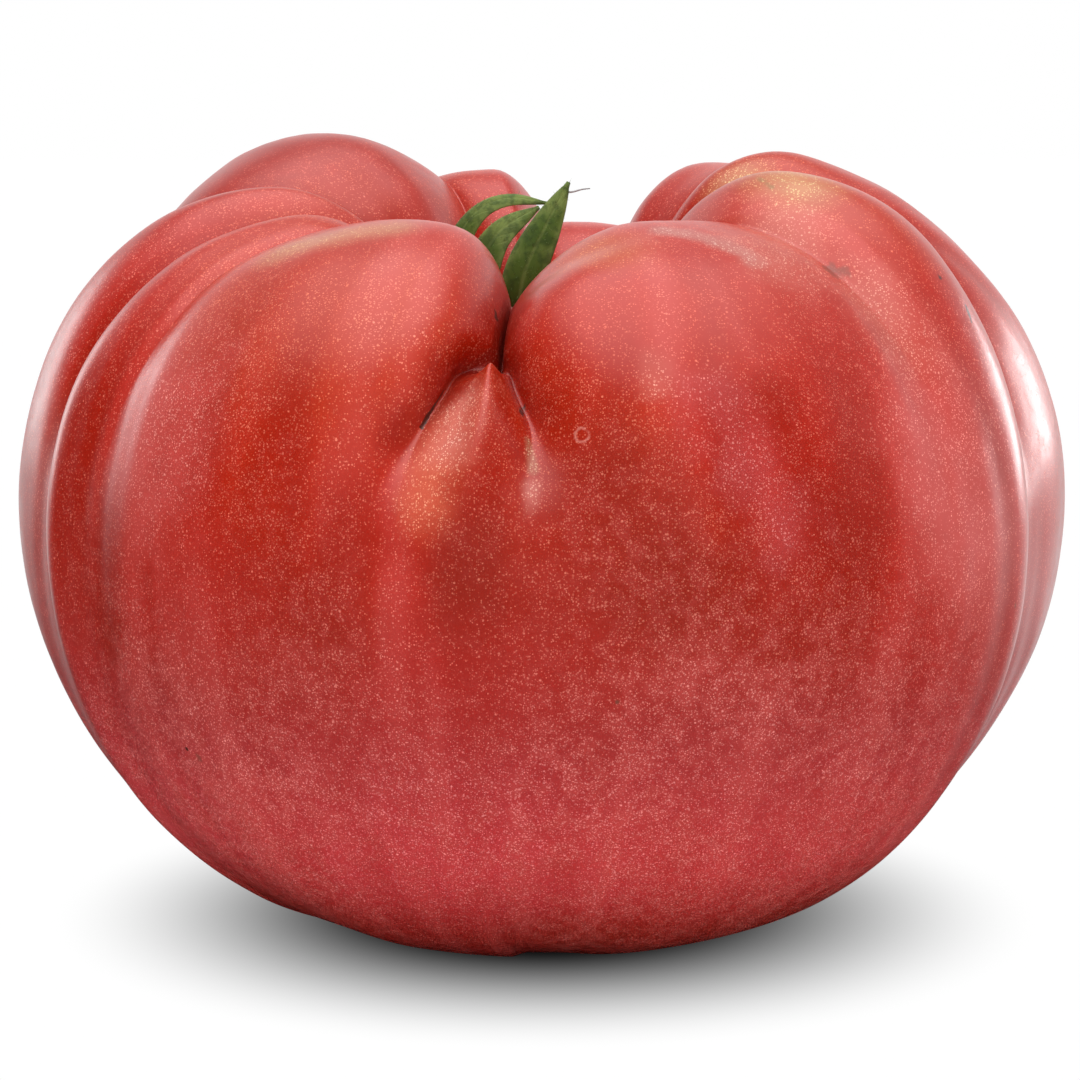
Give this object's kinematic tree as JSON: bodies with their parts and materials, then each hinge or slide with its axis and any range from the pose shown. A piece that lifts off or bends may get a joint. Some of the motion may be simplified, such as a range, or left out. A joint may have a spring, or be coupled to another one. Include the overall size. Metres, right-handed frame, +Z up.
{
  "type": "tomato",
  "caption": "Ripe beefsteak tomato with rounded lobes, deep furrows and a small green calyx in its sunken stem end; rests on a small flat spot.",
  "frame": {"origin": "on the surface that the fruit rests on, under the middle of its bounding box", "axes": "+Z up through the stem end, -Y towards the viewer (the side with the deepest furrow), +X to the viewer's right"},
  "size_m": [0.12, 0.11, 0.0894],
  "materials": {
    "skin": "smooth, satin gloss, red with fine pale speckles",
    "calyx": "matt green, finely haired"
  },
  "bodies": {
    "root": {"fruit": "skin", "calyx": "calyx"}
  },
  "joints": []
}
